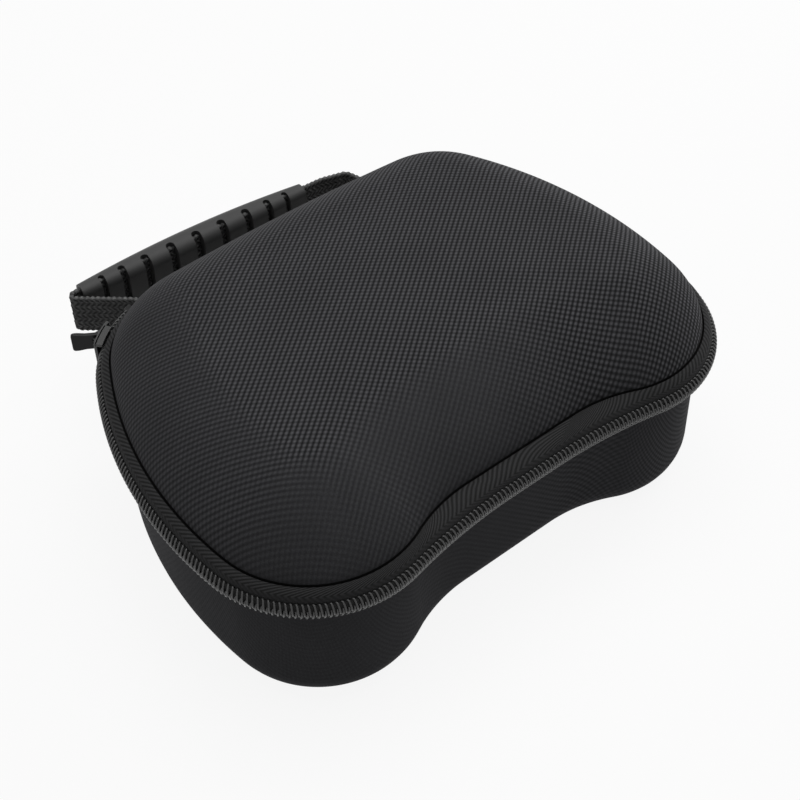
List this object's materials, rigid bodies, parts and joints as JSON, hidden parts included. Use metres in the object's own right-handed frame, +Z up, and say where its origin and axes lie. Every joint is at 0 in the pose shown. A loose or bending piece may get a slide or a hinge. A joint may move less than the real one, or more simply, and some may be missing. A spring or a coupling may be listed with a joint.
{
  "type": "controller carrying case",
  "caption": "Moulded zip case for a game controller: lobed outline, domed lid on a cloth spine, coil zip with slider and tab, and a webbing handle with a slotted grip.",
  "frame": {"origin": "centre of the resting face under the base, midway between the lobes", "axes": "+Z up from the resting face to the lid, +X along the long axis from lobe to lobe, +Y from the waisted front to the back with the handle"},
  "size_m": [0.182, 0.1612, 0.0789],
  "materials": {
    "shell_fabric": "plain-weave polyester bonded over moulded foam, matt",
    "zip_tape": "woven zip tape, matt",
    "zip_coil": "nylon coil, satin",
    "zip_metal": "black coated, semi-gloss",
    "spine_cloth": "woven strip, matt",
    "lining_cloth": "brushed lining, matt",
    "webbing": "coarse ribbed webbing, matt",
    "grip": "soft moulded plastic, satin",
    "rivet_metal": "black coated, semi-gloss",
    "net": "knitted net, matt",
    "elastic": "ribbed elastic, matt"
  },
  "bodies": {
    "base": {"base_shell": "shell_fabric", "base_zip_tape": "zip_tape", "base_zip_coil": "zip_coil", "base_end_stop": "zip_metal", "zip_bottom_stop": "zip_metal", "spine_strip": "spine_cloth", "spine_lining": "lining_cloth", "base_rim_binding": "lining_cloth", "handle_webbing": "webbing", "handle_grip": "grip", "handle_rivets": "rivet_metal", "rivet_washers": "rivet_metal"},
    "lid": {"lid_shell": "shell_fabric", "lid_zip_tape": "zip_tape", "lid_zip_coil": "zip_coil", "lid_end_stop": "zip_metal", "lid_rim_binding": "lining_cloth", "mesh_pocket": "net", "pocket_hem": "elastic", "pocket_band": "lining_cloth"},
    "slider": {"zip_slider": "zip_metal"},
    "tab": {"pull_tab": "zip_metal"}
  },
  "joints": [
    {"name": "lid_hinge", "type": "hinge", "parent": "base", "child": "lid", "pos_m": [0, 0.0665, 0.048], "axis": [-1, 0, 0], "range_deg": [0, 100], "deforming": ["spine_strip", "spine_lining", "base_zip_tape", "lid_zip_tape", "base_zip_coil", "lid_zip_coil"]},
    {"name": "slider_run", "type": "hinge", "parent": "base", "child": "slider", "pos_m": [-0.0413, 0.029, 0.048], "axis": [0, 0, 1], "range_deg": [0, 24]},
    {"name": "tab_swing", "type": "hinge", "parent": "slider", "child": "tab", "pos_m": [-0.06398, 0.06262, 0.048], "axis": [0, 0, 1], "range_deg": [-65, 65]}
  ]
}
